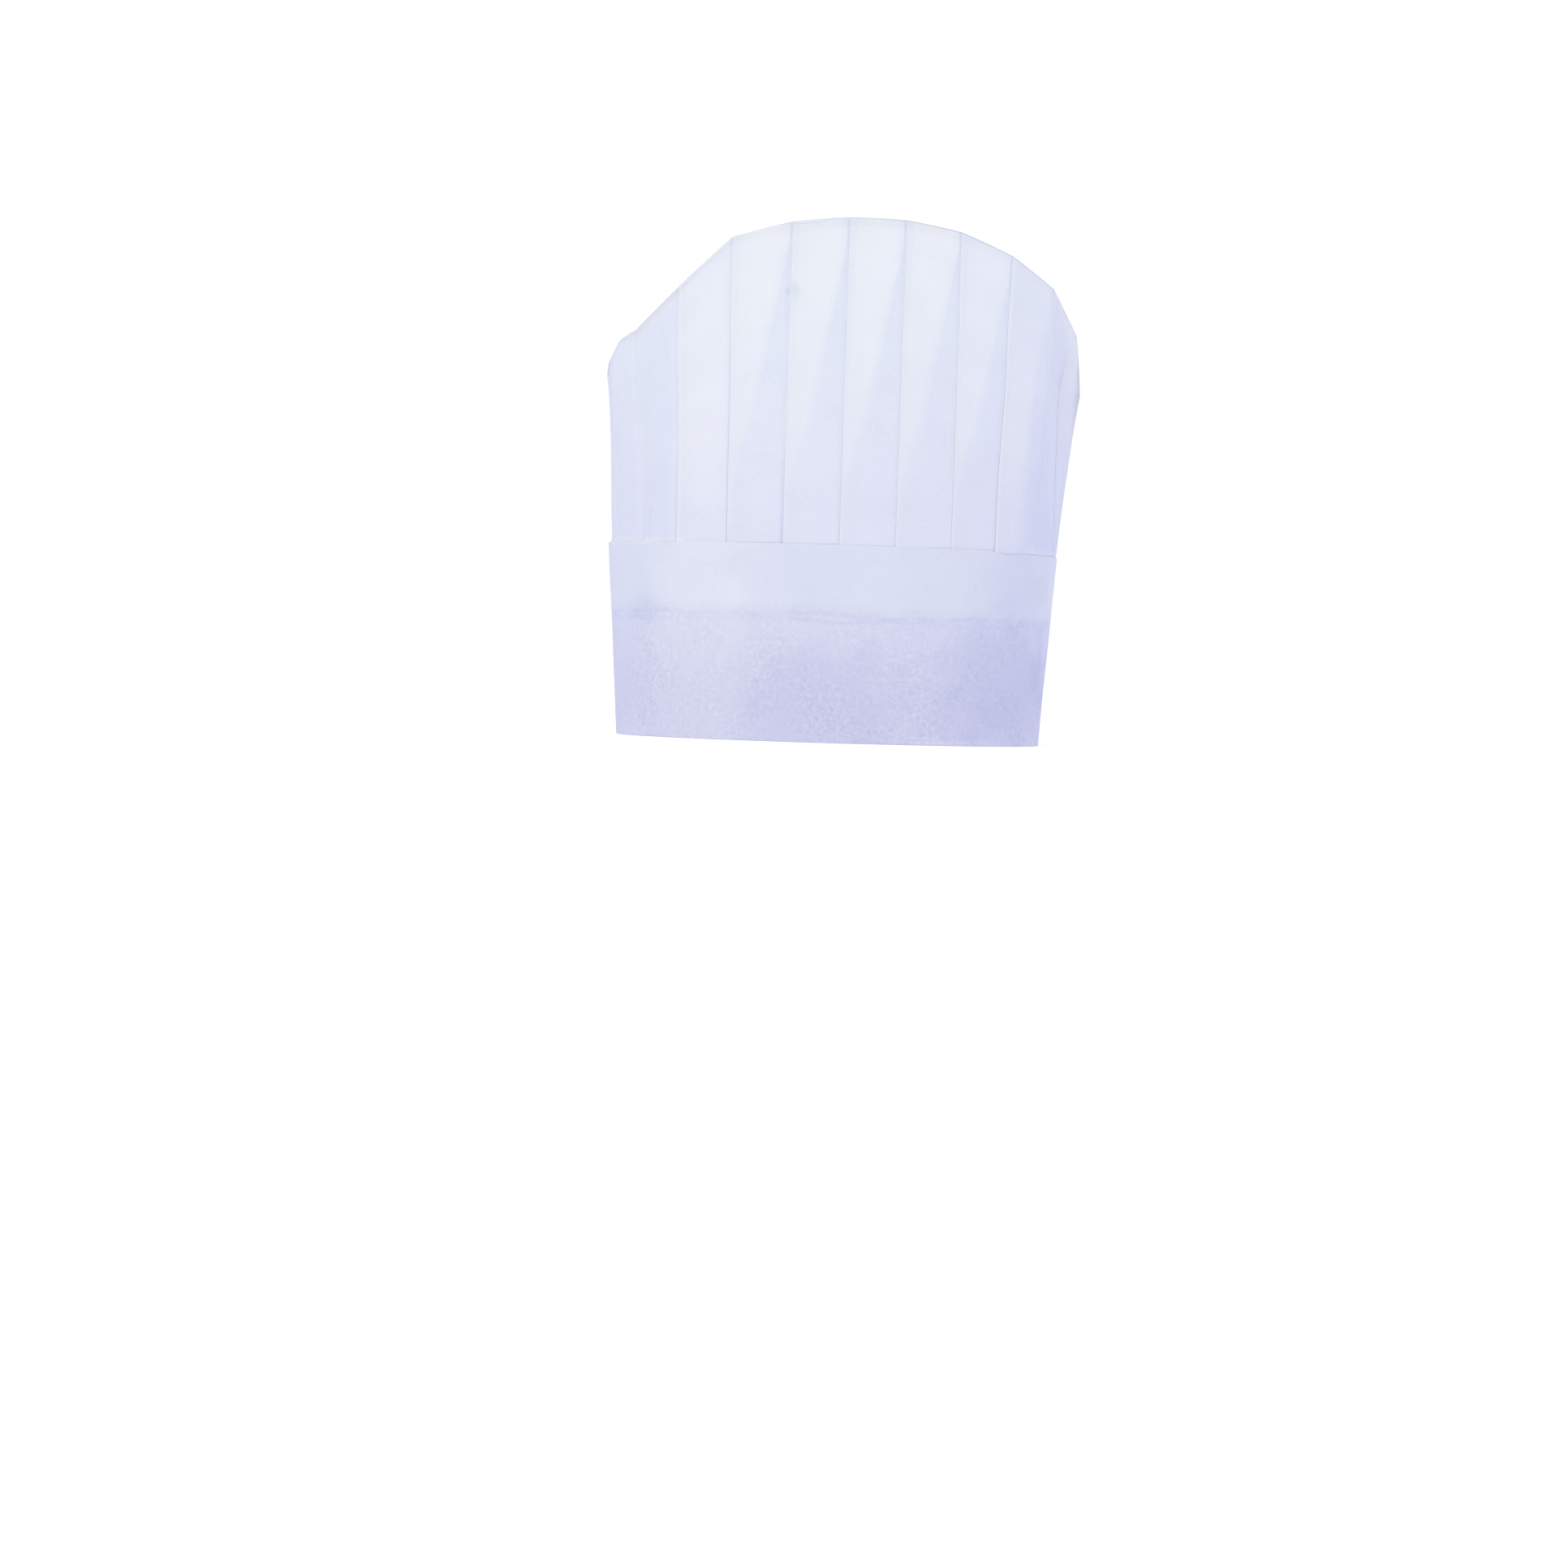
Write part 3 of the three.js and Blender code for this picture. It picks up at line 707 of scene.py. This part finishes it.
# Floor, backdrop, light and camera
# A plain white floor that runs into a white backdrop, under a soft sky. A large soft lamp
# lights the hat from the front left, and two more from behind light its outer edges. The
# camera is level with the lower band and turned a little.
STAGE_RADIUS = 5
FLOOR_Z = -0.0002

# White floor paint. It is matt and glows a little, so that the eye finds no horizon and
# only a faint shadow under the hat.
FLOOR_GLOW = 0.15
bpy.ops.object.select_all(action="DESELECT")
bpy.ops.mesh.primitive_circle_add(vertices=96, radius=STAGE_RADIUS, fill_type="NGON",
                                  location=(0, 0, FLOOR_Z))
floor = bpy.context.object
floor.name = "floor"
white = bpy.data.materials.new("painted white floor")
white.use_nodes = True
paint = white.node_tree.nodes["Principled BSDF"].inputs
paint["Base Color"].default_value = colour("#f4f5f8")
paint["Roughness"].default_value = 0.95
paint["Emission Color"].default_value = (1, 1, 1, 1)
paint["Emission Strength"].default_value = FLOOR_GLOW
floor.data.materials.append(white)

# White background paper, lit evenly: it is plain white to the eye.
PAPER_GLOW = 1.02
bpy.ops.object.select_all(action="DESELECT")
bpy.ops.mesh.primitive_uv_sphere_add(segments=48, ring_count=24, radius=STAGE_RADIUS)
backdrop = bpy.context.object
backdrop.name = "backdrop"
paper = bpy.data.materials.new("lit white paper")
paper.use_nodes = True
shine = add_node(paper, "ShaderNodeEmission", {"Color": (1, 1, 1, 1), "Strength": PAPER_GLOW})
paper_output = paper.node_tree.nodes["Material Output"]
paper.node_tree.links.new(shine.outputs["Emission"], paper_output.inputs["Surface"])
backdrop.data.materials.append(paper)

# Neither throws light or shade on the hat, which only the sky and the lamps light.
for staged in (floor, backdrop):
    staged.visible_diffuse = False
    staged.visible_glossy = False
    staged.visible_transmission = False
    staged.visible_shadow = False

# The sky's colour straight below, what is added to it up to overhead, and what is added
# from behind the hat round to the camera.
SKY_BELOW = (0.691, 0.654, 1.038)
SKY_OVERHEAD = (0.173, 0.324, 0.134)
SKY_IN_FRONT = (0.373, 0.321, 0.188)
world = bpy.data.worlds.new("soft sky")
bpy.context.scene.world = world
world.use_nodes = True
way = add_node(world, "ShaderNodeTexCoord")
parts = add_node(world, "ShaderNodeSeparateXYZ", None, {"Vector": way.outputs["Generated"]})
upward = add_node(world, "ShaderNodeMapRange", {"From Min": -1, "From Max": 1},
                  {"Value": parts.outputs["Z"]})
forward = add_node(world, "ShaderNodeMapRange", {"From Min": 1, "From Max": -1},
                   {"Value": parts.outputs["Y"]})
overhead = add_node(world, "ShaderNodeVectorMath", {0: SKY_OVERHEAD, 2: SKY_BELOW},
                    {1: upward.outputs["Result"]}, operation="MULTIPLY_ADD")
sky = add_node(world, "ShaderNodeVectorMath", {0: SKY_IN_FRONT},
               {1: forward.outputs["Result"], 2: overhead.outputs["Vector"]}, operation="MULTIPLY_ADD")
world.node_tree.links.new(sky.outputs["Vector"], world.node_tree.nodes["Background"].inputs["Color"])

# The lamps stand more than two metres away. Their places and sizes are in metres.
HAT_MIDDLE = (0, 0, 0.14)
BOX_SIDE = 1.2


def softbox(name, place, watts, tint):
    """A square soft lamp that points at the middle of the hat."""
    data = bpy.data.lights.new(name, "AREA")
    data.shape = "SQUARE"
    data.size = BOX_SIDE
    data.energy = watts
    data.color = tint
    lamp = bpy.data.objects.new(name, data)
    bpy.context.collection.objects.link(lamp)
    lamp.location = place
    lamp.rotation_euler = (Vector(HAT_MIDDLE) - lamp.location).to_track_quat("-Z", "Y").to_euler()


softbox("front left softbox", (-1.2, -1.7, 1.1), 6.75, (1, 1, 0.37))
softbox("right rim softbox", (1.8, 1.5, 0.6), 6, (1, 1, 0.8))
softbox("left rim softbox", (-1.8, 1.5, 0.6), 4.5, (1, 0.98, 0.85))

# The camera is set from the photograph: the scale at the hat, and where the middle of the
# rim is in the frame. A small lens shift puts it there, so that uprights stay parallel.
FRAME_PX = 1932
MM_PER_PX = 0.394
CAMERA_DISTANCE = 1720
EYE_HEIGHT = 37
RIM_PX = (1019, 910.5)
ROLL = radians(1.7)
SENSOR = 36
focal_px = CAMERA_DISTANCE / MM_PER_PX
eye_px = EYE_HEIGHT / MM_PER_PX
axis_x = RIM_PX[0] + eye_px * sin(ROLL) - FRAME_PX / 2
axis_y = RIM_PX[1] - eye_px * cos(ROLL) - FRAME_PX / 2
camera_data = bpy.data.cameras.new("camera")
camera_data.sensor_width = SENSOR
camera_data.lens = focal_px / FRAME_PX * SENSOR
camera_data.shift_x = -axis_x / FRAME_PX
camera_data.shift_y = axis_y / FRAME_PX
camera = bpy.data.objects.new("camera", camera_data)
bpy.context.collection.objects.link(camera)
camera.location = (RIM_MIDDLE * MM, -CAMERA_DISTANCE * MM, EYE_HEIGHT * MM)
turned = Matrix.Rotation(pi / 2, 3, "X") @ Matrix.Rotation(ROLL, 3, "Z")
camera.rotation_euler = turned.to_euler()
bpy.context.scene.camera = camera
bpy.context.scene.view_settings.view_transform = "Standard"
